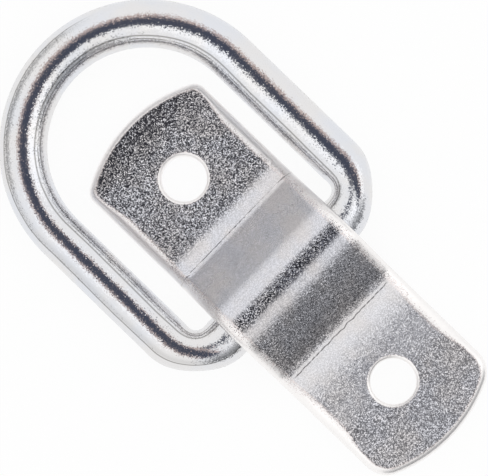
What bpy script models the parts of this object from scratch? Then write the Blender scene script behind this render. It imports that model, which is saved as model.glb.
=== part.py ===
"""Bolt-on D ring tie-down: a steel strap with a raised saddle, which holds a swinging D ring to a surface.

The strap is one length of flat bar. Its ends are sheared to a shallow arc, a bolt hole is punched in
each, and the middle is pressed up into a saddle over the ring's bar. The ring is one length of round rod.

+X runs along the strap, away from the ring's bow. +Y runs across it. +Z points away from the mounting
surface. The origin is on that surface, at the centre of the whole part's outline. Lengths are in metres.
"""

import math

import bpy
import bmesh
from mathutils import Matrix


# Flat bar
STRAP_WIDTH = 0.0254
STRAP_THICKNESS = 0.0030
ROLLED_EDGE_RADIUS = 0.00125
SHEARED_EDGE_RADIUS = 0.0010
BURR_EDGE_RADIUS = 0.0004

# Ends of the strap
HOLE_TO_END = 0.01275
END_ARC_RISE = 0.0036
RING_END_CORNER_RADIUS = 0.0022
FAR_END_CORNER_RADIUS = 0.0045

# Bolt holes
HOLE_SPACING = 0.0464
HOLE_DIAMETER = 0.0073
HOLE_ROLLOVER = 0.00045

# Rod and saddle
ROD_DIAMETER = 0.0077
BAR_CLEARANCE = 0.0007
CREASE_RADIUS = 0.0030

# The saddle's side towards the ring's bow
RING_FLANK_ANGLE = math.radians(40.0)
RING_RAMP_ANGLE = math.radians(18.0)
RING_RAMP_LENGTH = 0.0026
RING_FOOT_RADIUS = 0.0012

# The saddle's side towards the far end, which is steeper and has a long soft foot
FAR_FLANK_ANGLE = math.radians(45.0)
FAR_RAMP_ANGLE = math.radians(16.0)
FAR_RAMP_LENGTH = 0.0012
FAR_FOOT_RADIUS = 0.0220

# Ring: the corners' radius is the rod's centreline, and bending flattens the rod there
LEG_CLEARANCE = 0.0032
RING_CORNER_RADIUS = 0.0068
CORNER_FLATTENING = 0.0012
BOW_CLEARANCE = 0.0108
RING_SIDE_SHIFT = 0.0005

# Gap left where two faces touch on the real part
TOUCH_GAP = 0.0003

# Facets
CROWN_STEPS = 10
CREASE_STEPS = 4
RING_FOOT_STEPS = 3
FAR_FOOT_STEPS = 6
EDGE_STEPS = 4
CORNER_STEPS = 6
END_ARC_STEPS = 10
HOLE_STEPS = 56
ROLLOVER_STEPS = 3
BOW_STEPS = 32
RING_CORNER_STEPS = 10
ROD_SIDES = 28

# A fillet takes at most this share of its wall: the bar's thickness or twice a corner's radius
FILLET_SHARE = 0.45
# The punch's shape stands this much proud of the plate, so that no two faces lie in one plane
PUNCH_LIFT = 0.00002
PUNCH_REACH = 0.0010
MERGE_DISTANCE = 0.000001
SHARP_ANGLE = math.radians(32.0)

# Sizes that follow
half_strap_width = STRAP_WIDTH / 2
half_thickness = STRAP_THICKNESS / 2
half_strap_length = HOLE_SPACING / 2 + HOLE_TO_END
end_arc_radius = (half_strap_width ** 2 + END_ARC_RISE ** 2) / (2 * END_ARC_RISE)
rod_radius = ROD_DIAMETER / 2
saddle_radius = rod_radius + BAR_CLEARANCE
ring_inner_half_width = half_strap_width + LEG_CLEARANCE
ring_half_width = ring_inner_half_width + rod_radius

# Each side of the saddle: its flank's slope, its ramp's slope and length, its foot's radius and facets
saddle_sides = {
    -1: (RING_FLANK_ANGLE, RING_RAMP_ANGLE, RING_RAMP_LENGTH, RING_FOOT_RADIUS, RING_FOOT_STEPS),
    1: (FAR_FLANK_ANGLE, FAR_RAMP_ANGLE, FAR_RAMP_LENGTH, FAR_FOOT_RADIUS, FAR_FOOT_STEPS),
}

# The ring lies pulled towards its bow, with its bar against the saddle's flank
bar_shift = (BAR_CLEARANCE - TOUCH_GAP) / math.sin(RING_FLANK_ANGLE)
bar_to_bow = half_strap_length + BOW_CLEARANCE - ring_inner_half_width - bar_shift

# The middle of the holes, seen from the centre of the whole part's outline
strap_centre_x = (BOW_CLEARANCE + ROD_DIAMETER) / 2
strap_centre_y = RING_SIDE_SHIFT


def clear_scene():
    for existing in list(bpy.data.objects):
        bpy.data.objects.remove(existing)


def new_collection(name):
    collection = bpy.data.collections.new(name)
    bpy.context.scene.collection.children.link(collection)
    return collection


def steel_material(name, colour, roughness):
    material = bpy.data.materials.new(name)
    material.use_nodes = True
    shader = material.node_tree.nodes["Principled BSDF"]
    shader.inputs["Base Color"].default_value = (*colour, 1.0)
    shader.inputs["Metallic"].default_value = 1.0
    shader.inputs["Roughness"].default_value = roughness
    material.diffuse_color = (*colour, 1.0)
    return material


# Saddle: the strap's middle layer, from the crest outwards

def saddle_stretches(side):
    """Each stretch as its length, its slope at the start and at the end, and its number of facets."""
    flank_angle, ramp_angle, ramp_length, foot_top_radius, foot_steps = saddle_sides[side]
    crown_radius = saddle_radius + half_thickness
    crease_radius = CREASE_RADIUS + half_thickness
    foot_radius = foot_top_radius + half_thickness
    rise = rod_radius + crown_radius - half_thickness
    crown_fall = crown_radius * (1 - math.cos(flank_angle))
    crease_fall = crease_radius * (math.cos(ramp_angle) - math.cos(flank_angle))
    ramp_fall = ramp_length * math.sin(ramp_angle)
    foot_fall = foot_radius * (1 - math.cos(ramp_angle))
    flank_length = (rise - crown_fall - crease_fall - ramp_fall - foot_fall) / math.sin(flank_angle)
    return [
        (crown_radius * flank_angle, 0.0, flank_angle, CROWN_STEPS),
        (flank_length, flank_angle, flank_angle, 1),
        (crease_radius * (flank_angle - ramp_angle), flank_angle, ramp_angle, CREASE_STEPS),
        (ramp_length, ramp_angle, ramp_angle, 1),
        (foot_radius * ramp_angle, ramp_angle, 0.0, foot_steps),
    ]


def travel(length, start_slope, end_slope):
    """How far a stretch goes outwards and down."""
    turn = end_slope - start_slope
    if turn == 0:
        return length * math.cos(start_slope), length * math.sin(start_slope)
    radius = length / turn
    outwards = radius * (math.sin(end_slope) - math.sin(start_slope))
    down = radius * (math.cos(start_slope) - math.cos(end_slope))
    return outwards, down


def saddle_place(side, along):
    """Place of the middle layer at a length from the crest: distance outwards, height and slope."""
    outwards = 0.0
    height = rod_radius + saddle_radius + half_thickness
    for length, start_slope, end_slope, _ in saddle_stretches(side):
        part = min(along, length)
        slope = start_slope + (end_slope - start_slope) * part / length
        step_out, step_down = travel(part, start_slope, slope)
        outwards += step_out
        height -= step_down
        along -= part
        if along <= 0:
            return outwards, height, slope
    return outwards + along, height, 0.0


def saddle_length(side):
    return sum(stretch[0] for stretch in saddle_stretches(side))


def fold_stations(side):
    """Lengths from the crest at which one side of the flat blank is creased."""
    stations = [0.0]
    for length, _, _, steps in saddle_stretches(side):
        start = stations[-1]
        stations += [start + length * step / steps for step in range(1, steps + 1)]
    return stations


def folded(along, across, height):
    """A point of the flat blank, moved to where the press leaves it."""
    side = -1 if along < 0 else 1
    outwards, middle_height, slope = saddle_place(side, abs(along))
    x = side * (outwards + height * math.sin(slope))
    z = middle_height + height * math.cos(slope)
    return x, across, z


# Flat blank: the outline of a flat bar with arc ends

def end_outline(tip, corner_radius):
    """Outline of one end, from the +Y side to the -Y side: place, outward direction and share of shearing."""
    arc_centre = tip - end_arc_radius
    corner_y = half_strap_width - corner_radius
    corner_x = arc_centre + math.sqrt((end_arc_radius - corner_radius) ** 2 - corner_y ** 2)
    corner_end = math.atan2(corner_y, corner_x - arc_centre)
    upper = []
    for step in range(CORNER_STEPS + 1):
        share = step / CORNER_STEPS
        angle = math.pi / 2 + (corner_end - math.pi / 2) * share
        direction = (math.cos(angle), math.sin(angle))
        place = (corner_x + corner_radius * direction[0], corner_y + corner_radius * direction[1])
        upper.append((place, direction, share))
    lower = [((x, -y), (dx, -dy), share) for (x, y), (dx, dy), share in reversed(upper)]
    middle = []
    for step in range(1, END_ARC_STEPS):
        angle = corner_end * (1 - 2 * step / END_ARC_STEPS)
        direction = (math.cos(angle), math.sin(angle))
        place = (arc_centre + end_arc_radius * direction[0], end_arc_radius * direction[1])
        middle.append((place, direction, 1.0))
    return upper + middle + lower


def blank_tip(side):
    """Length of flat bar from the crest to one end, which folds to half the strap's length."""
    saddle_end, _, _ = saddle_place(side, saddle_length(side))
    return saddle_length(side) + half_strap_length - saddle_end


def blank_outline():
    """The whole outline, once round: the far end, then the ring's end."""
    far_end = end_outline(blank_tip(1), FAR_END_CORNER_RADIUS)
    ring_end = end_outline(blank_tip(-1), RING_END_CORNER_RADIUS)
    turned = [((-x, -y), (-dx, -dy), share) for (x, y), (dx, dy), share in ring_end]
    return far_end + turned


def edge_loop(bm, outline, rolled_radius, sheared_radius, angle, side):
    """One turn round the rounded edge. The angle runs from the side of the bar to its face."""
    loop = []
    for (x, y), (dx, dy), share in outline:
        radius = rolled_radius + (sheared_radius - rolled_radius) * share
        inset = radius * (1 - math.cos(angle))
        height = side * (half_thickness - radius * (1 - math.sin(angle)))
        loop.append(bm.verts.new((x - dx * inset, y - dy * inset, height)))
    return loop


def flat_blank():
    """The flat bar with its edges rounded: rolled along its sides, sheared across its ends."""
    tightest_corner = min(RING_END_CORNER_RADIUS, FAR_END_CORNER_RADIUS)
    widest_fillet = FILLET_SHARE * min(STRAP_THICKNESS, 2 * tightest_corner)
    rolled_radius = min(ROLLED_EDGE_RADIUS, widest_fillet)
    sheared_radius = min(SHEARED_EDGE_RADIUS, widest_fillet)
    burr_radius = min(BURR_EDGE_RADIUS, widest_fillet)
    bm = bmesh.new()
    outline = blank_outline()
    angles = [math.pi / 2 * step / EDGE_STEPS for step in range(EDGE_STEPS + 1)]
    lower = [edge_loop(bm, outline, rolled_radius, burr_radius, angle, -1) for angle in reversed(angles)]
    upper = [edge_loop(bm, outline, rolled_radius, sheared_radius, angle, 1) for angle in angles]
    loops = lower + upper
    count = len(outline)
    for first, second in zip(loops, loops[1:]):
        for index in range(count):
            following = (index + 1) % count
            bm.faces.new((first[index], first[following], second[following], second[index]))
    bm.faces.new(loops[0])
    bm.faces.new(loops[-1])
    bmesh.ops.recalc_face_normals(bm, faces=bm.faces)
    return bm


def strap_mesh():
    """The blank creased at each station and folded over the ring's bar."""
    bm = flat_blank()
    stations = {side * value for side in (-1, 1) for value in fold_stations(side)}
    along = (1, 0, 0)
    for station in sorted(stations):
        place = (station, 0, 0)
        everything = list(bm.verts) + list(bm.edges) + list(bm.faces)
        bmesh.ops.bisect_plane(bm, geom=everything, dist=MERGE_DISTANCE, plane_co=place, plane_no=along)
    for vertex in bm.verts:
        vertex.co = folded(*vertex.co)
    mesh = bpy.data.meshes.new("mounting_strap")
    bm.to_mesh(mesh)
    bm.free()
    mesh.shade_smooth()
    mesh.set_sharp_from_angle(angle=SHARP_ANGLE)
    return mesh


# Bolt holes: a turned punch with the rolled-over rim that it leaves

def punch_profile():
    radius = HOLE_DIAMETER / 2
    rollover = min(HOLE_ROLLOVER, STRAP_THICKNESS * FILLET_SHARE)
    rim_height = STRAP_THICKNESS + PUNCH_LIFT
    top = rim_height + PUNCH_REACH
    points = [(0.0, top), (radius + rollover, top)]
    for step in range(ROLLOVER_STEPS, -1, -1):
        angle = math.pi / 2 * step / ROLLOVER_STEPS
        x = radius + rollover * (1 - math.cos(angle))
        points.append((x, rim_height - rollover * (1 - math.sin(angle))))
    points += [(radius, -PUNCH_REACH), (0.0, -PUNCH_REACH)]
    return points


def add_punch(name, x, collection, parent):
    mesh = bpy.data.meshes.new(name)
    points = punch_profile()
    edges = [(index, index + 1) for index in range(len(points) - 1)]
    mesh.from_pydata([(radius, 0.0, height) for radius, height in points], edges, [])
    punch = bpy.data.objects.new(name, mesh)
    punch.location = (x, 0.0, 0.0)
    punch.parent = parent
    punch.display_type = 'WIRE'
    punch.hide_render = True
    collection.objects.link(punch)
    screw = punch.modifiers.new("turned", 'SCREW')
    screw.axis = 'Z'
    screw.steps = HOLE_STEPS
    screw.render_steps = HOLE_STEPS
    screw.use_merge_vertices = True
    screw.merge_threshold = MERGE_DISTANCE
    return punch


def add_strap(collection, punches, parent):
    strap = bpy.data.objects.new("mounting_strap", strap_mesh())
    strap.parent = parent
    strap.data.materials.append(steel_material("zinc_plated_flat_bar", (0.74, 0.75, 0.77), 0.34))
    collection.objects.link(strap)
    for name, side in (("ring_end_hole", -1), ("far_end_hole", 1)):
        punch = add_punch(name, side * HOLE_SPACING / 2, punches, parent)
        cut = strap.modifiers.new(name, 'BOOLEAN')
        cut.operation = 'DIFFERENCE'
        cut.solver = 'EXACT'
        cut.object = punch
    return strap


# Ring: a rod bent into a D, with its bar's middle at the object's origin

def bend_stations(centre_x, centre_y, radius, start, end, steps, flattening):
    """Stations round one bend: place, outward angle and the rod's width across the bend as a share."""
    stations = []
    for step in range(steps + 1):
        angle = start + (end - start) * step / steps
        place = (centre_x + radius * math.cos(angle), centre_y + radius * math.sin(angle))
        loss = flattening * math.sin(math.pi * step / steps) ** 2
        stations.append((place, angle, 1 - loss / ROD_DIAMETER))
    return stations


def ring_stations():
    """Once round the rod: a corner, the bow and the other corner, with straights between them."""
    quarter = math.pi / 2
    straight_half = ring_half_width - RING_CORNER_RADIUS
    corner = (RING_CORNER_STEPS, CORNER_FLATTENING)
    upper = bend_stations(-RING_CORNER_RADIUS, straight_half, RING_CORNER_RADIUS, 0, quarter, *corner)
    bow = bend_stations(-bar_to_bow, 0.0, ring_half_width, quarter, 3 * quarter, BOW_STEPS, 0.0)
    lower = bend_stations(-RING_CORNER_RADIUS, -straight_half, RING_CORNER_RADIUS, -quarter, 0, *corner)
    return upper + bow + lower


def rod_section(bm, place, angle, width_share):
    """One round section of the rod, standing across its centreline. Returns its edges."""
    matrix = (
        Matrix.Translation((*place, 0.0))
        @ Matrix.Rotation(angle, 4, 'Z')
        @ Matrix.Diagonal((width_share, 1.0, 1.0, 1.0))
        @ Matrix.Rotation(math.pi / 2, 4, 'X')
    )
    circle = bmesh.ops.create_circle(bm, segments=ROD_SIDES, radius=rod_radius, matrix=matrix)
    return list({edge for vertex in circle["verts"] for edge in vertex.link_edges})


def ring_mesh():
    bm = bmesh.new()
    sections = [rod_section(bm, *station) for station in ring_stations()]
    for first, second in zip(sections, sections[1:] + sections[:1]):
        bmesh.ops.bridge_loops(bm, edges=first + second)
    bmesh.ops.recalc_face_normals(bm, faces=bm.faces)
    mesh = bpy.data.meshes.new("d_ring")
    bm.to_mesh(mesh)
    bm.free()
    mesh.shade_smooth()
    return mesh


def add_ring(collection, parent):
    ring = bpy.data.objects.new("d_ring", ring_mesh())
    ring.location = (-bar_shift, -RING_SIDE_SHIFT, rod_radius)
    ring.parent = parent
    ring.data.materials.append(steel_material("bright_zinc_rod", (0.80, 0.81, 0.83), 0.16))
    collection.objects.link(ring)
    return ring


def main():
    clear_scene()
    pieces = new_collection("bolt_on_d_ring_tie_down")
    punches = new_collection("cutters")
    strap_frame = bpy.data.objects.new("strap_frame", None)
    strap_frame.location = (strap_centre_x, strap_centre_y, 0.0)
    pieces.objects.link(strap_frame)
    add_strap(pieces, punches, strap_frame)
    add_ring(pieces, strap_frame)
    bpy.context.view_layer.update()


main()
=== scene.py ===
"""Bolt-on D ring tie-down: the fine surfaces, the finishes and the studio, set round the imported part."""
import math

import bmesh
import bpy
from mathutils import Matrix, Vector, noise


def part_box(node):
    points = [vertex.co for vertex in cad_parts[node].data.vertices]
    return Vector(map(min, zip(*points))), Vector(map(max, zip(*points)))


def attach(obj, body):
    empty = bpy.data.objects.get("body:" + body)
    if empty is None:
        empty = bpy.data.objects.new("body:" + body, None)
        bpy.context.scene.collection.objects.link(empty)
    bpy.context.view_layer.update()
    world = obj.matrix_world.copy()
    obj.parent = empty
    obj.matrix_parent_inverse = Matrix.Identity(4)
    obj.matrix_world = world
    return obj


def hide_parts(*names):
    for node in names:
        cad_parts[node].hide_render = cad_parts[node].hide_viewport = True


bl_info = {
    "name": "D Ring Tie-Down",
    "version": (1, 0, 0),
    "blender": (4, 5, 0),
    "location": "View3D > Sidebar > Tie-Down",
    "description": "Builds a zinc plated strap and D ring, and the studio that shows them",
    "category": "Add Mesh",
}

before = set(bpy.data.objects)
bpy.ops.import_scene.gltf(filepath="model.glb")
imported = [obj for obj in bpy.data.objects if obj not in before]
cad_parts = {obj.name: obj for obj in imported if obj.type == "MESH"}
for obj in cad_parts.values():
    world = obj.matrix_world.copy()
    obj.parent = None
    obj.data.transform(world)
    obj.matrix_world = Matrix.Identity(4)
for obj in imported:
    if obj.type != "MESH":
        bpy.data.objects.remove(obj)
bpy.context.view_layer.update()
strap_low, strap_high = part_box("mounting_strap")
ring_low, ring_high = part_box("d_ring")

IMAGE_WIDTH = 488
MERGE_DISTANCE = 1e-7
ALONG = Vector((1.0, 0.0, 0.0))
ACROSS = Vector((0.0, 1.0, 0.0))
UP = Vector((0.0, 0.0, 1.0))


# Settings

def length(name, description, default):
    return bpy.props.FloatProperty(
        name=name, description=description, default=default, min=0.0,
        precision=5, unit='LENGTH', subtype='DISTANCE',
    )


def angle(name, description, degrees):
    return bpy.props.FloatProperty(
        name=name, description=description, default=math.radians(degrees),
        unit='ROTATION', subtype='ANGLE',
    )


def share(name, description, default):
    return bpy.props.FloatProperty(
        name=name, description=description, default=default, min=0.0, max=1.0, subtype='FACTOR',
    )


def colour(name, description, default):
    return bpy.props.FloatVectorProperty(
        name=name, description=description, default=default, size=3,
        min=0.0, max=1.0, subtype='COLOR',
    )


class StrapSettings(bpy.types.PropertyGroup):
    thickness: length("Thickness", "Thickness of the flat bar", 0.0030)
    top_edge: length("Top edge", "Radius of the bar's upper edges", 0.00120)
    bottom_edge: length("Bottom edge", "Radius of the bar's lower edges", 0.0006)
    rolled_spread: bpy.props.FloatProperty(
        name="Rolled spread", description="How much wider the rounding is along the rolled sides",
        default=2.0, min=1.0)
    spread_fade: length("Spread fade", "Length over which the wider rounding begins", 0.0060)
    end_rise: length("End rise", "How far each arc end stands out at its middle", 0.0036)
    ring_end_corner: length("Ring end corner", "Corner radius at the ring's end", 0.0022)
    far_end_corner: length("Far end corner", "Corner radius at the far end", 0.0045)
    hole_diameter: length("Hole", "Diameter of the bolt holes", 0.0073)
    hole_to_end: length("Hole to end", "From a hole's middle to the strap's end", 0.01275)
    hole_rollover: length("Rollover", "Radius that the punch leaves round a hole", 0.00060)
    inner_radius: length("Saddle radius", "Radius inside the saddle's crown", 0.00455)
    crease_radius: length("Crease", "Radius above the crease at a flank's foot", 0.0030)
    ring_flank: angle("Ring flank", "Slope of the saddle's flank towards the bow", 40.0)
    ring_ramp: angle("Ring ramp", "Slope of the ramp towards the bow", 18.0)
    ring_ramp_length: length("Ring ramp length", "Length of the ramp towards the bow", 0.0026)
    ring_foot: length("Ring foot", "Radius above the bend at the foot towards the bow", 0.0012)
    far_flank: angle("Far flank", "Slope of the saddle's flank towards the far end", 45.0)
    far_ramp: angle("Far ramp", "Slope of the ramp towards the far end", 16.0)
    far_ramp_length: length("Far ramp length", "Length of the ramp towards the far end", 0.0012)
    far_foot: length("Far foot", "Radius above the soft bend at the foot towards the far end", 0.0220)
    ring_line: length("Ring press line", "From the ring ramp's start back to its press line", 0.00025)
    far_line: length("Far press line", "From the far ramp's start on to its press line", 0.00078)
    line_width: length("Press line width", "Width of a press line", 0.00026)
    ring_line_depth: length("Ring line depth", "Depth of the press line towards the bow", 0.00001)
    far_line_depth: length("Far line depth", "Depth of the press line towards the far end", 0.00018)
    line_margin: length("Press line margin", "From a press line's end to the strap's edge", 0.0018)
    zinc: colour("Zinc", "Colour of the strap's plating", (0.77, 0.765, 0.78))
    roughness: share("Roughness", "Roughness of the strap's plating", 0.26)
    # Rim zinc is painted highlight, a lighter colour on the rims, the far foot and the press line towards the
    # bow
    painted_highlight_zinc: colour("Rim zinc", "Colour of the plating on the smooth rims", (0.97, 0.950, 0.940))
    # Fringe zinc is a painted warm reflection along the border where a rim begins
    painted_fringe_reflection: colour("Fringe zinc", "Colour of the plating where a rim begins", (0.86, 0.74, 0.71))
    rim_roughness: share("Rim roughness", "Roughness of the plating on the rims", 0.36)
    pit_size: length("Pit size", "Width of the pits in the hot-rolled skin", 0.00013)
    pit_tilt: share("Pit tilt", "Slope of the steepest pits", 0.48)
    pit_shade: share("Pit shade", "How dark the deepest pits are", 1.0)


class RingSettings(bpy.types.PropertyGroup):
    corner_radius: length("Corner radius", "Bend radius of the ring's corners, to the rod's middle", 0.0068)
    flattening: length("Flattening", "Width that the rod loses in a corner", 0.0012)
    zinc: colour("Zinc", "Colour of the ring's plating", (0.78, 0.785, 0.80))
    roughness: share("Roughness", "Roughness of the ring's plating", 0.13)
    grain_size: length("Grain size", "Width of the specks in the ring's skin", 0.00015)
    grain_tilt: share("Grain tilt", "Slope of the steepest specks", 0.17)
    line_spacing: length("Drawn lines", "Width of the fine lines that drawing leaves along the rod", 0.0009)
    # Streak shade sets how dark the rod's streaks are; outside towards -Y they are painted reflection and
    # painted shade
    streak_shade: share("Streak shade", "How dark the drawn streaks are", 0.85)
    line_height: length("Drawn line height", "Height of the drawn lines", 0.000022)


class StudioSettings(bpy.types.PropertyGroup):
    camera_distance: length("Camera distance", "From the camera to the object", 0.6)
    camera_tilt: angle("Camera tilt", "How far the camera leans away from straight above", 3.0)
    camera_roll: angle("Camera roll", "Turn of the picture round the camera's axis", 44.03)
    scale: bpy.props.FloatProperty(
        name="Scale", description="Pixels to the metre at the object", default=6294.0, min=1.0)
    aim: bpy.props.FloatVectorProperty(
        name="Aim", description="Point that the camera looks at", size=3, unit='LENGTH',
        default=(-0.000388, 0.000353, 0.004))
    floor_size: length("Floor", "Width of the floor", 4.0)
    floor_colour: colour("Floor colour", "Colour of the floor", (0.94, 0.94, 0.94))
    floor_white: share("Floor white", "How far the floor is whitened where it is seen", 0.93)
    room_light: share("Room light", "Level of the light that the room sheds", 0.92)
    lamp_power: bpy.props.FloatProperty(
        name="Lamp power", description="Power of the side lamp", default=0.5, min=0.0, unit='POWER')
    card_colour: colour("Card colour", "Colour of the card overhead", (0.12, 0.125, 0.155))
    flag_colour: colour("Flag colour", "Colour of the flags close above the object", (0.072, 0.080, 0.112))
    fringe_colour: colour("Fringe colour", "Colour of the warm rim round the ring's flag", (0.60, 0.49, 0.46))
    far_colour: colour("Far card colour", "Colour of the card beyond the far end", (0.150, 0.152, 0.161))
    bow_colour: colour("Bow card colour", "Colour of the card beyond the bow", (0.34, 0.34, 0.345))
    strip_colour: colour("Strip colour", "Colour of the dark strip low beyond the bow", (0.08, 0.075, 0.075))


# Meshes

def everything(bm):
    return list(bm.verts) + list(bm.edges) + list(bm.faces)


def new_object(name, bm):
    """Turns a finished mesh into an object in the scene."""
    mesh = bpy.data.meshes.new(name)
    bm.to_mesh(mesh)
    bm.free()
    item = bpy.data.objects.new(name, mesh)
    bpy.context.scene.collection.objects.link(item)
    return item


def make_piece(name, bm, material, body, node):
    """Turns a finished mesh into a piece that rides on a body and stands for a node."""
    bmesh.ops.recalc_face_normals(bm, faces=bm.faces)
    piece = new_object(name, bm)
    piece.data.shade_smooth()
    piece.data.materials.append(material)
    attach(piece, body)
    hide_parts(node)
    return piece


def spin_end(bm, start, centre, turn, steps):
    """Carries the end of a line round a centre and returns the new end."""
    made = bmesh.ops.spin(bm, geom=[start], cent=(*centre, 0.0), axis=UP, angle=turn, steps=steps)
    return next(item for item in made["geom_last"] if isinstance(item, bmesh.types.BMVert))


# Strap

CROWN_FOLDS = 22
CREASE_FOLDS = 12
FOOT_FOLDS = 14
LINE_STEPS = 90
LINE_WAVER_LENGTH = 0.0011
LINE_BREAK_LENGTH = 0.0005
LINE_BREAK_SEED = 5.0
LINE_USUAL_CUT = 0.75
LINE_LEAST_CUT = 0.15
LINE_ATTRIBUTE = "press_line"
CORNER_STEPS = 14
END_ARC_STEPS = 28
EDGE_STEPS = 8
HOLE_STEPS = 96
SIDE_SLICES = 14
ROLLOVER_STEPS = 6
CRISP_ANGLE = math.radians(60)


def saddle_stretches(settings, side):
    """The strap's middle layer from the crest outwards: length, slope at its start and end, folds."""
    if side > 0:
        flank, ramp = settings.far_flank, settings.far_ramp
        ramp_length, foot_top = settings.far_ramp_length, settings.far_foot
    else:
        flank, ramp = settings.ring_flank, settings.ring_ramp
        ramp_length, foot_top = settings.ring_ramp_length, settings.ring_foot
    crown = settings.inner_radius + settings.thickness / 2
    crease = settings.crease_radius + settings.thickness / 2
    foot = foot_top + settings.thickness / 2
    drop = strap_high.z - settings.thickness
    drop -= crown * (1 - math.cos(flank))
    drop -= crease * (math.cos(ramp) - math.cos(flank))
    drop -= ramp_length * math.sin(ramp)
    drop -= foot * (1 - math.cos(ramp))
    return [
        (crown * flank, 0.0, flank, CROWN_FOLDS),
        (drop / math.sin(flank), flank, flank, 0),
        (crease * (flank - ramp), flank, ramp, CREASE_FOLDS),
        (ramp_length, ramp, ramp, 0),
        (foot * ramp, ramp, 0.0, FOOT_FOLDS),
    ]


def fold_lines(settings, side):
    """Places along the flat bar where it folds, with the turn at each."""
    lines = []
    start = 0.0
    for size, slope, end_slope, folds in saddle_stretches(settings, side):
        for fold in range(folds):
            lines.append((start + size * (fold + 0.5) / folds, (end_slope - slope) / folds))
        start += size
    return lines


def press_line_place(settings, side):
    """Length along the flat bar from the crest to the press line beside a ramp's start."""
    crown, flank, crease, _, _ = (stretch[0] for stretch in saddle_stretches(settings, side))
    return crown + flank + crease + (settings.far_line if side > 0 else -settings.ring_line)


def flat_length(settings, side):
    """Length of flat bar from the crest to one end of the strap."""
    straight = 0.0
    slope = 0.0
    last = 0.0
    for place, turn in fold_lines(settings, side):
        straight += (place - last) * math.cos(slope)
        slope += turn
        last = place
    return (strap_high.x - strap_low.x) / 2 + last - straight


def end_line(bm, settings, tip, corner_radius):
    """One end's outline, a shallow arc between two round corners, from the -Y side to the +Y side."""
    half_width = (strap_high.y - strap_low.y) / 2
    arc_radius = (half_width ** 2 + settings.end_rise ** 2) / (2 * settings.end_rise)
    arc_centre = tip - arc_radius
    corner_y = half_width - corner_radius
    corner_x = arc_centre + math.sqrt((arc_radius - corner_radius) ** 2 - corner_y ** 2)
    half_arc = math.atan2(corner_y, corner_x - arc_centre)
    corner_turn = math.pi / 2 - half_arc
    start = bm.verts.new((corner_x, -half_width, 0.0))
    end = spin_end(bm, start, (corner_x, -corner_y), corner_turn, CORNER_STEPS)
    end = spin_end(bm, end, (arc_centre, 0.0), 2 * half_arc, END_ARC_STEPS)
    end = spin_end(bm, end, (corner_x, corner_y), corner_turn, CORNER_STEPS)
    return start, end


def round_rim(bm, face, radius):
    """Rounds the rim of a face by insetting it along a quarter circle."""
    for step in range(EDGE_STEPS):
        angles = [math.pi / 2 * (step + part) / EDGE_STEPS for part in (0, 1)]
        inwards = radius * (math.cos(angles[0]) - math.cos(angles[1]))
        upwards = radius * (math.sin(angles[1]) - math.sin(angles[0]))
        bmesh.ops.inset_region(
            bm, faces=[face], thickness=inwards, depth=0.0, use_even_offset=True, use_boundary=True)
        bmesh.ops.translate(bm, verts=face.verts, vec=face.normal * upwards)


def flat_bar(settings):
    """The sheared and rounded length of flat bar, before punching and folding."""
    bm = bmesh.new()
    far_start, far_end = end_line(bm, settings, flat_length(settings, 1), settings.far_end_corner)
    far_verts = set(bm.verts)
    ring_start, ring_end = end_line(bm, settings, flat_length(settings, -1), settings.ring_end_corner)
    ring_verts = [vert for vert in bm.verts if vert not in far_verts]
    bmesh.ops.rotate(bm, verts=ring_verts, cent=(0, 0, 0), matrix=Matrix.Rotation(math.pi, 3, 'Z'))
    bm.edges.new((far_end, ring_start))
    bm.edges.new((ring_end, far_start))
    outline = bmesh.ops.edgeloop_fill(bm, edges=bm.edges)["faces"][0]
    bmesh.ops.recalc_face_normals(bm, faces=[outline])
    if outline.normal.z > 0:
        bmesh.ops.reverse_faces(bm, faces=[outline])
    bmesh.ops.translate(bm, verts=bm.verts, vec=-UP * (settings.thickness / 2 - settings.bottom_edge))
    top = bmesh.ops.extrude_face_region(bm, geom=[outline], use_keep_orig=True)
    top_face = next(item for item in top["geom"] if isinstance(item, bmesh.types.BMFace))
    lift = settings.thickness - settings.bottom_edge - settings.top_edge
    bmesh.ops.translate(bm, verts=top_face.verts, vec=UP * lift)
    bmesh.ops.recalc_face_normals(bm, faces=bm.faces)
    round_rim(bm, top_face, settings.top_edge)
    round_rim(bm, outline, settings.bottom_edge)
    return bm


def draw_on(bm, vert, places):
    """Draws a line on from a vertex through the places."""
    for place in places:
        following = bm.verts.new(place)
        bm.edges.new((vert, following))
        vert = following


def punch_tool(settings, x):
    """The turned shape that a punch takes out, with the rim that rolls over round it."""
    radius = settings.hole_diameter / 2
    rim = radius + settings.hole_rollover
    top = settings.thickness / 2
    reach = settings.thickness
    bm = bmesh.new()
    start = bm.verts.new((rim, 0.0, top))
    made = bmesh.ops.spin(
        bm, geom=[start], cent=(rim, 0.0, top - settings.hole_rollover),
        axis=ACROSS, angle=-math.pi / 2, steps=ROLLOVER_STEPS)
    wall = next(item for item in made["geom_last"] if isinstance(item, bmesh.types.BMVert))
    draw_on(bm, wall, ((radius, 0.0, -reach), (0.0, 0.0, -reach)))
    draw_on(bm, start, ((rim, 0.0, reach), (0.0, 0.0, reach)))
    bmesh.ops.spin(
        bm, geom=list(bm.verts) + list(bm.edges), cent=(0, 0, 0), axis=UP,
        angle=2 * math.pi, steps=HOLE_STEPS, use_merge=True)
    bmesh.ops.remove_doubles(bm, verts=bm.verts, dist=MERGE_DISTANCE)
    bmesh.ops.recalc_face_normals(bm, faces=bm.faces)
    bmesh.ops.translate(bm, verts=bm.verts, vec=(x, 0.0, 0.0))
    return new_object("punch", bm)


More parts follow.
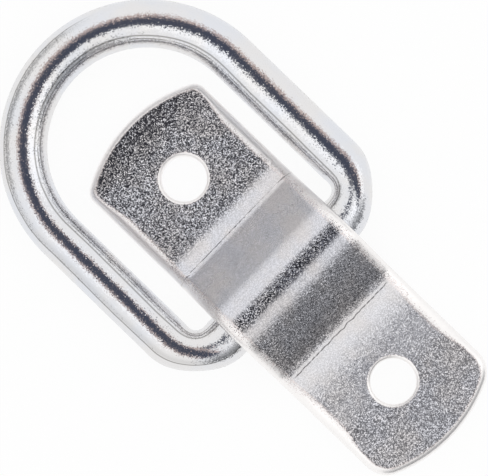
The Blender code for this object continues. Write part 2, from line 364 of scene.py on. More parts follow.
def punched(bm, settings):
    """The flat bar with its two bolt holes, crisp where they come out below."""
    blank = new_object("blank", bm)
    punches = []
    for side in (-1, 1):
        from_crest = flat_length(settings, side) - settings.hole_to_end
        punches.append(punch_tool(settings, side * from_crest))
    for punch in punches:
        cut = blank.modifiers.new("hole", 'BOOLEAN')
        cut.operation = 'DIFFERENCE'
        cut.solver = 'EXACT'
        cut.object = punch
    graph = bpy.context.evaluated_depsgraph_get()
    cut_mesh = bpy.data.meshes.new_from_object(blank.evaluated_get(graph))
    cut_bar = bmesh.new()
    cut_bar.from_mesh(cut_mesh)
    for item in [blank, *punches]:
        bpy.data.objects.remove(item)
    for edge in cut_bar.edges:
        edge.smooth = edge.calc_face_angle() < CRISP_ANGLE
    return cut_bar


def slice_bar(bm, place, axis, geom=None):
    """Cuts an edge through the bar, or through part of it, at a place on an axis."""
    bmesh.ops.bisect_plane(
        bm, geom=geom or everything(bm), dist=MERGE_DISTANCE, plane_co=axis * place, plane_no=axis)


def strip_beside(bm, settings, place, limit):
    """The parts of the flat bar's top that lie within a press line's strip."""
    inside = []
    for face in bm.faces:
        middle = face.calc_center_median()
        on_top = middle.z > settings.thickness / 2 - MERGE_DISTANCE
        if on_top and abs(middle.x - place) < settings.line_width / 2 and abs(middle.y) < limit:
            inside.append(face)
    edges = dict.fromkeys(edge for face in inside for edge in face.edges)
    verts = dict.fromkeys(vert for face in inside for vert in face.verts)
    return [*inside, *edges, *verts]


def press_lines(bm, settings):
    """Presses an uneven line into the top beside each ramp's start, ending short of the strap's edges."""
    limit = (strap_high.y - strap_low.y) / 2 - settings.line_margin
    # This attribute marks the press lines for their painted highlight towards the bow and painted shade
    # towards the far end
    press_line_paint = bm.verts.layers.float.new(LINE_ATTRIBUTE)
    for end in (-limit, limit):
        slice_bar(bm, end, ACROSS)
    for side, depth in ((-1, settings.ring_line_depth), (1, settings.far_line_depth)):
        place = side * press_line_place(settings, side)
        for step in (-1, 0, 1):
            slice_bar(bm, place + step * settings.line_width / 2, ALONG)
        for step in range(1, LINE_STEPS):
            strip = strip_beside(bm, settings, place, limit)
            slice_bar(bm, limit * (2 * step / LINE_STEPS - 1), ACROSS, strip)
        for vert in bm.verts:
            on_top = vert.co.z > settings.thickness / 2 - MERGE_DISTANCE
            from_line = abs(vert.co.x - place)
            if not on_top or from_line > settings.line_width or abs(vert.co.y) > limit - MERGE_DISTANCE:
                continue
            waver = noise.noise(Vector((vert.co.y / LINE_WAVER_LENGTH, side, 0.0)))
            vert.co.x += waver * settings.line_width
            if from_line < settings.line_width / 4:
                uneven = noise.noise(Vector((vert.co.y / LINE_BREAK_LENGTH, side, LINE_BREAK_SEED)))
                cut = min(max(LINE_USUAL_CUT + uneven, LINE_LEAST_CUT), 1.0)
                vert.co.z -= depth * cut
                vert[press_line_paint] = side * cut


def spread_rolled_sides(bm, settings):
    """Widens the rounding along the bar's rolled sides, fading out towards the sheared ends."""
    half_width = (strap_high.y - strap_low.y) / 2
    for vert in bm.verts:
        side = 1 if vert.co.x > 0 else -1
        corner = settings.far_end_corner if side > 0 else settings.ring_end_corner
        from_end = flat_length(settings, side) - settings.end_rise - corner - abs(vert.co.x)
        fade = min(max(from_end / settings.spread_fade, 0.0), 1.0)
        fade *= fade * (3 - 2 * fade)
        inset = half_width - abs(vert.co.y)
        if inset < settings.top_edge + MERGE_DISTANCE:
            inset *= 1 + (settings.rolled_spread - 1) * fade
            vert.co.y = math.copysign(half_width - inset, vert.co.y)


def fold(bm, settings):
    """Folds the flat bar, outermost fold first, by turning all that lies beyond each fold line."""
    flat = {vert: vert.co.x for vert in bm.verts}
    for side in (-1, 1):
        for place, turn in reversed(fold_lines(settings, side)):
            beyond = [vert for vert, x in flat.items() if side * x > place]
            bmesh.ops.rotate(
                bm, verts=beyond, cent=(side * place, 0, 0), matrix=Matrix.Rotation(side * turn, 3, 'Y'))


def strap_mesh(settings):
    bm = punched(flat_bar(settings), settings)
    for side in (-1, 1):
        for place, _ in fold_lines(settings, side):
            slice_bar(bm, side * place, ALONG)
        for step in range(1, SIDE_SLICES + 1):
            run_out = (flat_length(settings, side) - settings.end_rise) * (0.5 + 0.5 * step / SIDE_SLICES)
            slice_bar(bm, side * run_out, ALONG)
    spread_rolled_sides(bm, settings)
    press_lines(bm, settings)
    fold(bm, settings)
    centre = (strap_low + strap_high) / 2
    lift = strap_high.z - settings.thickness / 2
    bmesh.ops.translate(bm, verts=bm.verts, vec=(centre.x, centre.y, lift))
    return bm


# Ring

ROD_SIDES = 64
BOW_STEPS = 150
CORNER_BEND_STEPS = 36
STRAIGHT_STEPS = 8
RING_MERGE_DISTANCE = 5e-6
ROD_ATTRIBUTE = "round_rod"


def ring_mesh(settings):
    """One round section of the rod carried round the D: half the bar, corner, leg, bow, leg, corner, bar."""
    rod_radius = (ring_high.z - ring_low.z) / 2
    half_width = (ring_high.y - ring_low.y) / 2 - rod_radius
    bar_x = ring_high.x - rod_radius
    bow_x = ring_low.x + rod_radius + half_width
    corner_x = bar_x - settings.corner_radius
    corner_y = half_width - settings.corner_radius
    middle_y = (ring_high.y + ring_low.y) / 2
    bm = bmesh.new()
    stand = Matrix.Translation((bar_x, 0.0, 0.0)) @ Matrix.Rotation(math.pi / 2, 4, 'X')
    bmesh.ops.create_circle(bm, segments=ROD_SIDES, radius=rod_radius, matrix=stand)
    section = list(bm.edges)
    round_rod = bm.verts.layers.float_vector.new(ROD_ATTRIBUTE)
    for vert in bm.verts:
        vert[round_rod] = Vector((vert.co.x - bar_x, vert.co.z, 0.0))

    def carry_straight(section, move):
        for _ in range(STRAIGHT_STEPS):
            made = bmesh.ops.extrude_edge_only(bm, edges=section)["geom"]
            verts = [item for item in made if isinstance(item, bmesh.types.BMVert)]
            edges = [item for item in made if isinstance(item, bmesh.types.BMEdge)]
            bmesh.ops.translate(bm, verts=verts, vec=Vector(move) / STRAIGHT_STEPS)
            section = [edge for edge in edges if all(vert in set(verts) for vert in edge.verts)]
        return section

    def carry_round(section, centre, turn, steps):
        verts = dict.fromkeys(vert for edge in section for vert in edge.verts)
        made = bmesh.ops.spin(
            bm, geom=[*section, *verts], cent=(*centre, 0.0), axis=UP, angle=turn, steps=steps)
        return [item for item in made["geom_last"] if isinstance(item, bmesh.types.BMEdge)]

    quarter = math.pi / 2
    section = carry_straight(section, (0.0, corner_y, 0.0))
    section = carry_round(section, (corner_x, corner_y), quarter, CORNER_BEND_STEPS)
    section = carry_straight(section, (bow_x - corner_x, 0.0, 0.0))
    section = carry_round(section, (bow_x, 0.0), 2 * quarter, BOW_STEPS)
    section = carry_straight(section, (corner_x - bow_x, 0.0, 0.0))
    section = carry_round(section, (corner_x, -corner_y), quarter, CORNER_BEND_STEPS)
    carry_straight(section, (0.0, corner_y, 0.0))
    bmesh.ops.remove_doubles(bm, verts=bm.verts, dist=RING_MERGE_DISTANCE)
    flatten_corners(bm, settings, rod_radius, corner_x, corner_y)
    bmesh.ops.translate(bm, verts=bm.verts, vec=(0.0, middle_y, ring_low.z + rod_radius))
    return bm


def flatten_corners(bm, settings, rod_radius, corner_x, corner_y):
    """Narrows the rod across each corner's bend, most at the bend's middle."""
    for vert in bm.verts:
        out_x = vert.co.x - corner_x
        out_y = abs(vert.co.y) - corner_y
        if out_x <= 0 or out_y <= 0:
            continue
        bend = math.atan2(out_y, out_x)
        across = math.hypot(out_x, out_y)
        width = 1 - settings.flattening / (2 * rod_radius) * math.sin(2 * bend) ** 2
        across = settings.corner_radius + (across - settings.corner_radius) * width
        vert.co.x = corner_x + across * math.cos(bend)
        vert.co.y = math.copysign(corner_y + across * math.sin(bend), vert.co.y)


# Nodes

FIRST_NODE_X = -2400
NODE_WIDTH = 180
NODE_HEIGHT = 220
NODE_ROWS = 3


class Nodes:
    """Adds nodes to a material or world and joins them."""

    def __init__(self, owner):
        owner.use_nodes = True
        self.tree = owner.node_tree
        self.column = 0

    def add(self, kind, values=(), **choices):
        node = self.tree.nodes.new(kind)
        row = self.column % NODE_ROWS
        node.location = (FIRST_NODE_X + self.column * NODE_WIDTH, -row * NODE_HEIGHT)
        self.column += 1
        for name, value in choices.items():
            setattr(node, name, value)
        for socket, value in dict(values).items():
            if isinstance(value, bpy.types.NodeSocket):
                self.tree.links.new(value, node.inputs[socket])
            else:
                node.inputs[socket].default_value = value
        return node

    def math(self, operation, first, second=0.0):
        return self.add('ShaderNodeMath', {0: first, 1: second}, operation=operation).outputs[0]

    def vector(self, operation, *values):
        return self.add('ShaderNodeVectorMath', dict(enumerate(values)), operation=operation).outputs[0]

    def remap(self, value, low, high, to_low=0.0, to_high=1.0, smooth=True):
        node = self.add(
            'ShaderNodeMapRange',
            {"Value": value, "From Min": low, "From Max": high, "To Min": to_low, "To Max": to_high},
            interpolation_type='SMOOTHSTEP' if smooth else 'LINEAR')
        return node.outputs["Result"]

    def noise(self, place, size, detail=2.0, roughness=0.5):
        node = self.add(
            'ShaderNodeTexNoise',
            {"Vector": place, "Scale": 1.0 / size, "Detail": detail, "Roughness": roughness})
        return node.outputs["Fac"]

    def cells(self, place, size):
        """A random colour for each tiny cell of the surface."""
        return self.add('ShaderNodeTexVoronoi', {"Vector": place, "Scale": 1.0 / size}).outputs["Color"]

    def mix(self, factor, first, second):
        node = self.add('ShaderNodeMix', data_type='RGBA')
        for socket, value in ((node.inputs[0], factor), (node.inputs[6], first), (node.inputs[7], second)):
            if isinstance(value, bpy.types.NodeSocket):
                self.tree.links.new(value, socket)
            else:
                socket.default_value = (*value, 1.0) if hasattr(value, "__len__") else value
        return node.outputs[2]


# Finishes

# Places between which the strap's finish changes, in metres from the crest, positive towards the far end
CREST_FADE = (0.0012, 0.0030)
LIP_FADES = ((0.0005, 0.0014), (0.0046, 0.0024))
FAR_FLANK_FADE = (0.0022, 0.0036)
FOOT_START_FADE = (0.01065, 0.01130)
FOOT_END_FADE = (0.0250, 0.0130)
FOOT_TAIL_FADE = (0.0270, 0.0200)
NARROW_RIM_FADE = (0.0120, 0.0184)
PLATES_FADE = (0.0180, 0.0184)
BOW_FLANK_FADES = ((-0.0008, -0.0018), (-0.0159, -0.0133))
BOW_PITS_FADE = (-0.0370, -0.0150)
BOW_END_SHADE_FADE = (-0.0270, -0.0345)

# Shares of the pits that the press rubbed away, and how much of the far foot's share its tail keeps
BOW_FLANK_SMOOTH = 0.80
FAR_FLANK_SMOOTH = 0.22
LIP_SMOOTH = 0.66
FAR_FOOT_SMOOTH = 0.82
FOOT_TAIL = 0.70

# How steep the pits are on the crest and at the bow's end, as shares of the pit tilt
CREST_STEEPNESS = 0.65
BOW_END_STEEPNESS = 0.45

# How far a face leans before it counts as a rim, how ragged the rims' border is, and how strong the painted
# warm reflection along that border is
SIDE_RIM_LEAN = 0.20
END_RIM_LEAN = 0.06
RIM_NARROWING = 0.14
RAGGED_LEAST = 0.50
RAGGED_SPREAD = 1.4
FRINGE_PRESENCE = 2.4

# How much of the rims' painted highlight the far foot shows
FAR_FOOT_PAINTED_HIGHLIGHT = 0.32

# Dark hollows of the pits, more of them towards the bow's end as painted shade, and the painted highlight and
# shade in the press lines
HOLLOW_RANGE = (0.25, 0.65)
BOW_END_PAINTED_SHADE = 0.26
HOLLOW_SHADE = (0.05, 0.05, 0.06)
LINE_PRESENCE = 1.6
LINE_SHADE = (0.16, 0.15, 0.15)

# Swells under the strap's pits, with their width and height in widths of a pit
SWELL_WIDTH = 12
SWELL_HEIGHT = 0.2
SWELL_STRENGTH = 0.5

# Patches in which the tint and the roughness drift, and how far they do
TINT_RANGE = (0.35, 0.65)
ROUGHNESS_RANGE = (0.3, 0.7)
STRAP_PATCH_SIZE = 0.006
STRAP_COOL = (0.98, 0.99, 1.03)
STRAP_WARM = (1.03, 1.0, 0.985)
STRAP_ROUGHNESS_DRIFT = (-0.02, 0.03)
RING_PATCH_SIZE = 0.008
RING_COOL = (0.97, 0.985, 1.02)
RING_WARM = (1.02, 1.0, 0.98)
RING_ROUGHNESS_DRIFT = (0.85, 1.25)

# Swells of the ring's rod, and how slowly its drawn lines change along it
RING_SWELL_SIZE = 0.0045
RING_SWELL_HEIGHT = 0.00004
RING_LINE_DRIFT = (0.03, 0.03, 0.03)

# Dark streaks along the rod, the outside one a painted dark reflection and the beside one painted shade:
# angle from the rod's top in radians, positive outwards, half width in radians, and kind
ROD_STREAKS = (
    (-0.60, 0.065, "steady"),
    (-0.76, 0.035, "broken"),
    (-0.90, 0.045, "steady"),
    (0.80, 0.055, "outside"),
    (0.66, 0.250, "beside"),
)
STREAK_SHADE = (0.17, 0.16, 0.14)
STREAK_WAVER = 0.22
STREAK_WAVER_SIZE = 0.012
STREAK_BREAK_SIZE = 0.0035
STREAK_BREAK_RANGE = (0.38, 0.56)
STEADY_PRESENCE = 0.8
OUTSIDE_PRESENCE = 0.9
OUTSIDE_FADE = (0.010, 0.002)
BESIDE_SHARE = 0.24


def tinted(base, factors):
    return tuple(part * factor for part, factor in zip(base, factors))


def patchy_tint(nodes, patches, zinc, cool, warm):
    """The zinc's colour, drifting a little between a cool and a warm tint."""
    return nodes.mix(nodes.remap(patches, *TINT_RANGE), tinted(zinc, cool), tinted(zinc, warm))


def zone(nodes, place, fade_in, fade_out):
    """1 between two fades along the strap and 0 beyond them."""
    return nodes.math('MULTIPLY', nodes.remap(place, *fade_in), nodes.remap(place, *fade_out))


def specked(nodes, cells, tilt, normal):
    """The surface's normal with tiny facets: most lean a little, and a few lean as far as the tilt."""
    lean = nodes.vector('MULTIPLY_ADD', cells, (2.0, 2.0, 2.0), (-1.0, -1.0, -1.0))
    lean = nodes.vector('MULTIPLY', lean, nodes.vector('MULTIPLY', lean, lean))
    lean = nodes.add('ShaderNodeVectorMath', {0: lean, "Scale": tilt}, operation='SCALE').outputs[0]
    return nodes.vector('NORMALIZE', nodes.vector('ADD', normal, lean))


def strap_rims(nodes, facing, ragged, from_crest):
    """1 on the rounded rims along the strap's sides and round its ends, and 0 on its faces."""
    narrower = nodes.remap(from_crest, *NARROW_RIM_FADE, RIM_NARROWING, 0.0)
    outwards = nodes.math('MULTIPLY', nodes.math('ABSOLUTE', facing.outputs["Y"]), ragged)
    sides = nodes.remap(nodes.math('SUBTRACT', outwards, narrower), 0.0, SIDE_RIM_LEAN)
    level = nodes.math('ABSOLUTE', facing.outputs["Z"])
    falling = nodes.math('MULTIPLY', nodes.math('SUBTRACT', 1.0, level), ragged)
    on_plates = nodes.remap(from_crest, *PLATES_FADE)
    ends = nodes.math('MULTIPLY', nodes.remap(falling, 0.0, END_RIM_LEAN), on_plates)
    return nodes.math('MAXIMUM', sides, ends)


def rubbed_smooth(nodes, along, far_foot, rims):
    """How far the pits are rubbed away on the flanks, the lip beside the crest, the far foot and the rims."""
    bow_flank = nodes.math('MULTIPLY', zone(nodes, along, *BOW_FLANK_FADES), BOW_FLANK_SMOOTH)
    far_flank = nodes.remap(along, *FAR_FLANK_FADE, 0.0, FAR_FLANK_SMOOTH)
    lip = nodes.math('MULTIPLY', zone(nodes, along, *LIP_FADES), LIP_SMOOTH)
    foot = nodes.math('MULTIPLY', far_foot, FAR_FOOT_SMOOTH)
    smooth = nodes.math('MAXIMUM', bow_flank, far_flank)
    smooth = nodes.math('MAXIMUM', smooth, lip)
    smooth = nodes.math('MAXIMUM', smooth, foot)
    return nodes.math('MAXIMUM', smooth, rims)


def strap_finish(settings):
    """Satin zinc over pitted hot-rolled bar, smooth on its rims and where the press rubbed it."""
    material = bpy.data.materials.new("pitted_zinc_plate")
    nodes = Nodes(material)
    shader = nodes.tree.nodes["Principled BSDF"]
    texture = nodes.add('ShaderNodeTexCoord')
    place = texture.outputs["Object"]
    facing = nodes.add('ShaderNodeSeparateXYZ', {0: texture.outputs["Normal"]})
    along = nodes.add('ShaderNodeSeparateXYZ', {0: place}).outputs["X"]
    along = nodes.math('SUBTRACT', along, (strap_low.x + strap_high.x) / 2)
    from_crest = nodes.math('ABSOLUTE', along)
    cells = nodes.cells(place, settings.pit_size)
    speck = nodes.add('ShaderNodeSeparateColor', {0: cells})

    ragged = nodes.math('ADD', nodes.math('MULTIPLY', speck.outputs["Blue"], RAGGED_SPREAD), RAGGED_LEAST)
    rims = strap_rims(nodes, facing, ragged, from_crest)
    ending = nodes.remap(along, *FOOT_END_FADE, smooth=False)
    tail = nodes.remap(along, *FOOT_TAIL_FADE, 0.0, FOOT_TAIL)
    start = nodes.remap(along, *FOOT_START_FADE)
    far_foot = nodes.math('MULTIPLY', start, nodes.math('MAXIMUM', ending, tail))
    pitted = nodes.math('SUBTRACT', 1.0, rubbed_smooth(nodes, along, far_foot, rims))

    on_crest = nodes.remap(from_crest, *CREST_FADE, CREST_STEEPNESS, 1.0)
    to_bow = nodes.remap(along, *BOW_PITS_FADE, BOW_END_STEEPNESS, 1.0, smooth=False)
    steepness = nodes.math('MULTIPLY', pitted, nodes.math('MULTIPLY', on_crest, to_bow))
    tilt = nodes.math('MULTIPLY', steepness, settings.pit_tilt)
    swell = nodes.noise(place, settings.pit_size * SWELL_WIDTH, detail=2.0)
    bump = nodes.add(
        'ShaderNodeBump',
        {"Strength": SWELL_STRENGTH, "Distance": settings.pit_size * SWELL_HEIGHT, "Height": swell})
    normal = specked(nodes, cells, tilt, bump.outputs["Normal"])

    patches = nodes.noise(place, STRAP_PATCH_SIZE, detail=3.0)
    tint = patchy_tint(nodes, patches, settings.zinc, STRAP_COOL, STRAP_WARM)
    # Painted highlight on the far foot's soft bend
    tint = nodes.mix(nodes.math('MULTIPLY', far_foot, FAR_FOOT_PAINTED_HIGHLIGHT), tint, settings.painted_highlight_zinc)
    # The rims' border, which gets a painted warm reflection
    border = nodes.math('MULTIPLY', rims, nodes.math('SUBTRACT', 1.0, rims))
    fringe = nodes.math('MULTIPLY', border, FRINGE_PRESENCE)
    # Painted highlight on the rims, with the painted warm reflection along their border
    tint = nodes.mix(fringe, nodes.mix(rims, tint, settings.painted_highlight_zinc), settings.painted_fringe_reflection)
    # Painted shade: more and darker specks towards the bow's end
    painted_bow_end_shade = nodes.remap(along, *BOW_END_SHADE_FADE, 0.0, BOW_END_PAINTED_SHADE)
    hollow = nodes.remap(nodes.math('ADD', speck.outputs["Green"], painted_bow_end_shade), *HOLLOW_RANGE, smooth=False)
    hollow = nodes.math('MULTIPLY', nodes.math('MULTIPLY', hollow, settings.pit_shade), pitted)
    shaded = nodes.mix(hollow, tint, tinted(settings.zinc, HOLLOW_SHADE))
    # Painted highlight in the press line towards the bow and painted shade in the one towards the far end
    line = nodes.add('ShaderNodeAttribute', attribute_name=LINE_ATTRIBUTE).outputs["Fac"]
    rubbed = nodes.mix(nodes.math('MULTIPLY', line, -LINE_PRESENCE), shaded, settings.painted_highlight_zinc)
    far_line_shade = tinted(settings.zinc, LINE_SHADE)
    far_line_shaded = nodes.mix(nodes.math('MULTIPLY', line, LINE_PRESENCE), rubbed, far_line_shade)

    roughnesses = [settings.roughness + change for change in STRAP_ROUGHNESS_DRIFT]
    rough = nodes.remap(patches, *ROUGHNESS_RANGE, *roughnesses)
    rougher = nodes.math('MULTIPLY', rims, settings.rim_roughness - settings.roughness)
    rough = nodes.math('ADD', rough, rougher)
    nodes.tree.links.new(far_line_shaded, shader.inputs["Base Color"])
    nodes.tree.links.new(rough, shader.inputs["Roughness"])
    nodes.tree.links.new(normal, shader.inputs["Normal"])
    shader.inputs["Metallic"].default_value = 1.0
    return material


def streaks_and_painted_reflection(nodes, place, round_rod):
    """Dark streaks along the rod on its inner shoulder, and outside towards -Y a painted dark reflection with
    painted shade beside it.
    """
    section = nodes.add('ShaderNodeSeparateXYZ', {0: round_rod})
    outwards = nodes.math('ARCTAN2', section.outputs["X"], section.outputs["Y"])
    waver = nodes.math('SUBTRACT', nodes.noise(place, STREAK_WAVER_SIZE, detail=3.0), 0.5)
    outwards = nodes.math('ADD', outwards, nodes.math('MULTIPLY', waver, STREAK_WAVER))
    broken = nodes.remap(nodes.noise(place, STREAK_BREAK_SIZE, detail=3.0), *STREAK_BREAK_RANGE)
    across = nodes.add('ShaderNodeSeparateXYZ', {0: place}).outputs["Y"]
    outside = nodes.remap(across, *OUTSIDE_FADE, 0.0, OUTSIDE_PRESENCE)
    beside = nodes.math('MULTIPLY', outside, BESIDE_SHARE)
    presences = {"steady": STEADY_PRESENCE, "broken": broken, "outside": outside, "beside": beside}
    streaks = 0.0
    for lean, width, kind in ROD_STREAKS:
        away = nodes.math('ABSOLUTE', nodes.math('SUBTRACT', outwards, lean))
        streak = nodes.math('MULTIPLY', nodes.remap(away, width, 0.0), presences[kind])
        streaks = nodes.math('MAXIMUM', streaks, streak)
    return streaks


def ring_finish(settings):
    """Bright zinc over smooth drawn rod, with fine lines along it, faint swells and a few specks."""
    material = bpy.data.materials.new("bright_zinc_rod")
    nodes = Nodes(material)
    shader = nodes.tree.nodes["Principled BSDF"]
    place = nodes.add('ShaderNodeTexCoord').outputs["Object"]
    round_rod = nodes.add('ShaderNodeAttribute', attribute_name=ROD_ATTRIBUTE).outputs["Vector"]
    drift = nodes.vector('MULTIPLY', place, RING_LINE_DRIFT)
    lines = nodes.noise(
        nodes.vector('ADD', round_rod, drift), settings.line_spacing, detail=4.0, roughness=0.65)
    drawn = nodes.add('ShaderNodeBump', {"Strength": 1.0, "Distance": settings.line_height, "Height": lines})
    swell = nodes.noise(place, RING_SWELL_SIZE, detail=2.0)
    bump = nodes.add(
        'ShaderNodeBump',
        {"Distance": RING_SWELL_HEIGHT, "Height": swell, "Normal": drawn.outputs["Normal"]})
    grain = nodes.cells(place, settings.grain_size)
    normal = specked(nodes, grain, settings.grain_tilt, bump.outputs["Normal"])

    patches = nodes.noise(place, RING_PATCH_SIZE, detail=3.0)
    tint = patchy_tint(nodes, patches, settings.zinc, RING_COOL, RING_WARM)
    # Dark streaks along the rod, outside towards -Y painted reflection and painted shade
    streaks = nodes.math('MULTIPLY', streaks_and_painted_reflection(nodes, place, round_rod), settings.streak_shade)
    tint = nodes.mix(streaks, tint, tinted(settings.zinc, STREAK_SHADE))
    roughnesses = [settings.roughness * part for part in RING_ROUGHNESS_DRIFT]
    rough = nodes.remap(patches, *ROUGHNESS_RANGE, *roughnesses)
    nodes.tree.links.new(tint, shader.inputs["Base Color"])
    nodes.tree.links.new(rough, shader.inputs["Roughness"])
    nodes.tree.links.new(normal, shader.inputs["Normal"])
    shader.inputs["Metallic"].default_value = 1.0
    return material


# Studio

FLOOR_PATCH_SIZE = 0.05
FLOOR_PATCH_RANGE = (0.3, 0.7)
FLOOR_PATCH_SHADE = (0.99, 0.99, 0.99)
FLOOR_ROUGHNESS = 0.9
RING_FLAG_SIZE = (0.07, 0.07)
CREST_FLAG_SIZE = (0.0139, 0.034)


def seen_directly(nodes):
    """1 where the camera sees a thing, straight or by way of metal or glass, and 0 for the light it sheds."""
    path = nodes.add('ShaderNodeLightPath')
    seen = nodes.math('MAXIMUM', path.outputs["Is Camera Ray"], path.outputs["Is Glossy Ray"])
    return nodes.math('MAXIMUM', seen, path.outputs["Is Transmission Ray"])


def floor_finish(settings):
    """A pale floor that is seen nearly white and keeps the object's shadow."""
    material = bpy.data.materials.new("pale_floor")
    nodes = Nodes(material)
    shader = nodes.tree.nodes["Principled BSDF"]
    output = nodes.tree.nodes["Material Output"]
    place = nodes.add('ShaderNodeTexCoord').outputs["Object"]
    patches = nodes.noise(place, FLOOR_PATCH_SIZE, detail=2.0)
    shade = tinted(settings.floor_colour, FLOOR_PATCH_SHADE)
    tone = nodes.mix(nodes.remap(patches, *FLOOR_PATCH_RANGE), settings.floor_colour, shade)
    nodes.tree.links.new(tone, shader.inputs["Base Color"])
    shader.inputs["Roughness"].default_value = FLOOR_ROUGHNESS
    shader.inputs["Specular IOR Level"].default_value = 0.0
    white = nodes.add('ShaderNodeEmission', {"Color": (1.0, 1.0, 1.0, 1.0), "Strength": 1.0})
    whitened = nodes.math('MULTIPLY', seen_directly(nodes), settings.floor_white)
    blend = nodes.add('ShaderNodeMixShader', {0: whitened})
    nodes.tree.links.new(shader.outputs[0], blend.inputs[1])
    nodes.tree.links.new(white.outputs[0], blend.inputs[2])
    nodes.tree.links.new(blend.outputs[0], output.inputs["Surface"])
    return material


def add_floor(settings):
    bm = bmesh.new()
    bmesh.ops.create_grid(bm, x_segments=1, y_segments=1, size=settings.floor_size / 2)
    floor = new_object("floor", bm)
    floor.data.materials.append(floor_finish(settings))


def heading(azimuth, elevation):
    """The direction at an angle round from +X and an angle above the floor, both in degrees."""
    azimuth, elevation = math.radians(azimuth), math.radians(elevation)
    level = math.cos(elevation)
    return Vector((level * math.cos(azimuth), level * math.sin(azimuth), math.sin(elevation)))


def stand_facing(item, azimuth, elevation, distance):
    """Stands a card or lamp in a direction from the object, with its +Z side turned away from it."""
    away = heading(azimuth, elevation)
    across = heading(azimuth + 90, 0)
    turn = Matrix((across, away.cross(across), away)).transposed().to_4x4()
    item.matrix_world = Matrix.Translation(away * distance) @ turn


def show_in_reflections_only(item):
    item.visible_camera = False
    item.visible_diffuse = False
    item.visible_shadow = False
    item.visible_transmission = False
    item.visible_volume_scatter = False


def box_mask(size, soft):
    """A card's own shape, fading out over a share of its half size in each direction."""
    def mask(nodes, axes):
        solid = 1.0
        for axis, reach, fade in zip("XY", size, soft):
            from_middle = nodes.math('ABSOLUTE', axes.outputs[axis])
            shown = nodes.remap(from_middle, reach / 2, reach / 2 * (1 - fade), smooth=False)
            solid = nodes.math('MULTIPLY', shown, solid)
        return solid
    return mask


def u_mask(inner, inner_soft, outer, outer_soft):
    """A band round one end of the card and along both its sides, fading in and out at its rims."""
    def mask(nodes, axes):
        behind = nodes.math('MINIMUM', axes.outputs["X"], 0.0)
        reach = nodes.add('ShaderNodeCombineXYZ', {0: behind, 1: axes.outputs["Y"]})
        reach = nodes.add('ShaderNodeVectorMath', {0: reach.outputs[0]}, operation='LENGTH').outputs["Value"]
        start = nodes.remap(reach, inner, inner + inner_soft)
        return nodes.math('MULTIPLY', start, nodes.remap(reach, outer, outer - outer_soft))
    return mask


def card_finish(name, tone, mask):
    """One tone within the mask and clear beyond it, so that the reflection has soft edges."""
    material = bpy.data.materials.new(name)
    nodes = Nodes(material)
    output = nodes.tree.nodes["Material Output"]
    nodes.tree.nodes.remove(nodes.tree.nodes["Principled BSDF"])
    axes = nodes.add('ShaderNodeSeparateXYZ', {0: nodes.add('ShaderNodeTexCoord').outputs["Object"]})
    plain = nodes.add('ShaderNodeEmission', {"Color": (*tone, 1.0), "Strength": 1.0})
    clear = nodes.add('ShaderNodeBsdfTransparent')
    blend = nodes.add('ShaderNodeMixShader', {0: mask(nodes, axes)})
    nodes.tree.links.new(clear.outputs[0], blend.inputs[1])
    nodes.tree.links.new(plain.outputs[0], blend.inputs[2])
    nodes.tree.links.new(blend.outputs[0], output.inputs["Surface"])
    return material


def new_card(name, tone, size, mask):
    """A plain flat card, as a studio uses to shape the reflections in metal."""
    bm = bmesh.new()
    bmesh.ops.create_grid(bm, x_segments=1, y_segments=1, size=0.5)
    bmesh.ops.scale(bm, verts=bm.verts, vec=(*size, 1.0))
    card = new_object(name, bm)
    card.data.materials.append(card_finish(name, tone, mask))
    show_in_reflections_only(card)
    return card


def add_card(name, tone, azimuth, elevation, distance, size, soft):
    """A card that stands away from the object and faces it."""
    card = new_card(name, tone, size, box_mask(size, soft))
    stand_facing(card, azimuth, elevation, distance)


def add_flag(name, tone, place, size, mask):
    """A level card close above the object."""
    card = new_card(name, tone, size, mask)
    card.matrix_world = Matrix.Translation(place)


def add_cards(settings):
    """The cards that shape the dark and grey bands in the zinc."""
    add_flag(
        "ring_flag", settings.flag_colour, place=(-0.02035, 0.00095, 0.0125), size=RING_FLAG_SIZE,
        mask=u_mask(inner=0.0178, inner_soft=0.0010, outer=0.0242, outer_soft=0.0024))
    add_flag(
        "ring_fringe", settings.fringe_colour, place=(-0.02035, 0.0018, 0.0127), size=RING_FLAG_SIZE,
        mask=u_mask(inner=0.0178, inner_soft=0.0010, outer=0.0260, outer_soft=0.0018))
    add_flag(
        "crest_flag", settings.flag_colour, place=(0.0107, 0.0005, 0.036), size=CREST_FLAG_SIZE,
        mask=box_mask(CREST_FLAG_SIZE, soft=(0.25, 0.25)))
    add_card(
        "overhead_card", settings.card_colour, azimuth=180, elevation=87, distance=0.45,
        size=(0.20, 0.20), soft=(0.40, 0.40))
    add_card(
        "far_card", settings.far_colour, azimuth=0, elevation=0, distance=0.14,
        size=(0.30, 0.37), soft=(0.30, 0.97))
    add_card(
        "bow_card", settings.bow_colour, azimuth=205, elevation=0, distance=0.80,
        size=(1.20, 0.95), soft=(0.30, 0.94))
    add_card(
        "skirting_strip", settings.strip_colour, azimuth=228, elevation=1, distance=0.78,
        size=(1.30, 0.07), soft=(0.20, 0.20))


def add_lamp(name, azimuth, elevation, distance, width, power):
    """A soft round lamp turned to the object."""
    light = bpy.data.lights.new(name, 'AREA')
    light.shape = 'DISK'
    light.size = width
    light.energy = power
    lamp = bpy.data.objects.new(name, light)
    bpy.context.scene.collection.objects.link(lamp)
    stand_facing(lamp, azimuth, elevation, distance)


def add_lamps(settings):
    add_lamp("side_lamp", azimuth=44, elevation=38, distance=0.90, width=0.90, power=settings.lamp_power)
    add_lamp("near_lamp", azimuth=-90, elevation=62, distance=0.90, width=0.50, power=settings.lamp_power / 4)


def add_world(settings):
    """An even room, seen white, that sheds a plain light."""
    world = bpy.data.worlds.new("studio")
    bpy.context.scene.world = world
    nodes = Nodes(world)
    background = nodes.tree.nodes["Background"]
    shed = (settings.room_light, settings.room_light, settings.room_light)
    nodes.tree.links.new(nodes.mix(seen_directly(nodes), shed, (1.0, 1.0, 1.0)), background.inputs["Color"])
    background.inputs["Strength"].default_value = 1.0


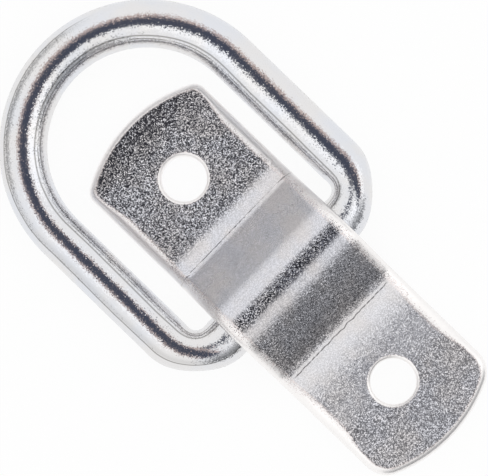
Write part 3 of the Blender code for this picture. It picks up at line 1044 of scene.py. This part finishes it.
def add_camera(settings):
    """A long lens nearly straight above, leaning a little towards the far end."""
    back = Vector((math.sin(settings.camera_tilt), 0.0, math.cos(settings.camera_tilt)))
    right = Vector((math.cos(settings.camera_roll), math.sin(settings.camera_roll), 0.0))
    up = back.cross(right).normalized()
    right = up.cross(back)
    data = bpy.data.cameras.new("camera")
    data.lens = settings.scale * settings.camera_distance / IMAGE_WIDTH * data.sensor_width
    data.clip_start = settings.camera_distance / 10
    data.clip_end = settings.floor_size * 4
    camera = bpy.data.objects.new("camera", data)
    turn = Matrix((right, up, back)).transposed().to_4x4()
    camera.matrix_world = Matrix.Translation(Vector(settings.aim) + back * settings.camera_distance) @ turn
    bpy.context.scene.collection.objects.link(camera)
    bpy.context.scene.camera = camera


# Operators

class TIEDOWN_OT_strap(bpy.types.Operator):
    """Fold, punch and plate the mounting strap"""
    bl_idname = "tiedown.strap"
    bl_label = "Mounting Strap"

    def execute(self, context):
        settings = context.scene.tiedown_strap
        piece = make_piece(
            "strap_skin", strap_mesh(settings), strap_finish(settings),
            body="strap", node="mounting_strap")
        normals = piece.modifiers.new("even_normals", 'WEIGHTED_NORMAL')
        normals.keep_sharp = True
        return {'FINISHED'}


class TIEDOWN_OT_ring(bpy.types.Operator):
    """Bend and plate the D ring"""
    bl_idname = "tiedown.ring"
    bl_label = "D Ring"

    def execute(self, context):
        settings = context.scene.tiedown_ring
        make_piece(
            "ring_skin", ring_mesh(settings), ring_finish(settings),
            body="ring", node="d_ring")
        return {'FINISHED'}


class TIEDOWN_OT_studio(bpy.types.Operator):
    """Set the floor, the light and the camera"""
    bl_idname = "tiedown.studio"
    bl_label = "Studio"

    def execute(self, context):
        settings = context.scene.tiedown_studio
        add_floor(settings)
        add_cards(settings)
        add_lamps(settings)
        add_world(settings)
        add_camera(settings)
        context.scene.view_settings.view_transform = 'Standard'
        return {'FINISHED'}


class TIEDOWN_PT_panel(bpy.types.Panel):
    bl_idname = "TIEDOWN_PT_panel"
    bl_label = "D Ring Tie-Down"
    bl_space_type = 'VIEW_3D'
    bl_region_type = 'UI'
    bl_category = "Tie-Down"

    def draw(self, context):
        scene = context.scene
        groups = (
            (TIEDOWN_OT_strap, scene.tiedown_strap),
            (TIEDOWN_OT_ring, scene.tiedown_ring),
            (TIEDOWN_OT_studio, scene.tiedown_studio),
        )
        for operator, settings in groups:
            box = self.layout.box()
            box.operator(operator.bl_idname)
            for name in settings.__annotations__:
                box.prop(settings, name)


CLASSES = (
    StrapSettings, RingSettings, StudioSettings,
    TIEDOWN_OT_strap, TIEDOWN_OT_ring, TIEDOWN_OT_studio, TIEDOWN_PT_panel,
)


def register():
    for item in CLASSES:
        bpy.utils.register_class(item)
    bpy.types.Scene.tiedown_strap = bpy.props.PointerProperty(type=StrapSettings)
    bpy.types.Scene.tiedown_ring = bpy.props.PointerProperty(type=RingSettings)
    bpy.types.Scene.tiedown_studio = bpy.props.PointerProperty(type=StudioSettings)


def unregister():
    del bpy.types.Scene.tiedown_strap
    del bpy.types.Scene.tiedown_ring
    del bpy.types.Scene.tiedown_studio
    for item in reversed(CLASSES):
        bpy.utils.unregister_class(item)


def main():
    register()
    bpy.ops.tiedown.strap()
    bpy.ops.tiedown.ring()
    bpy.ops.tiedown.studio()
    bpy.context.view_layer.update()


if __name__ == "__main__":
    main()
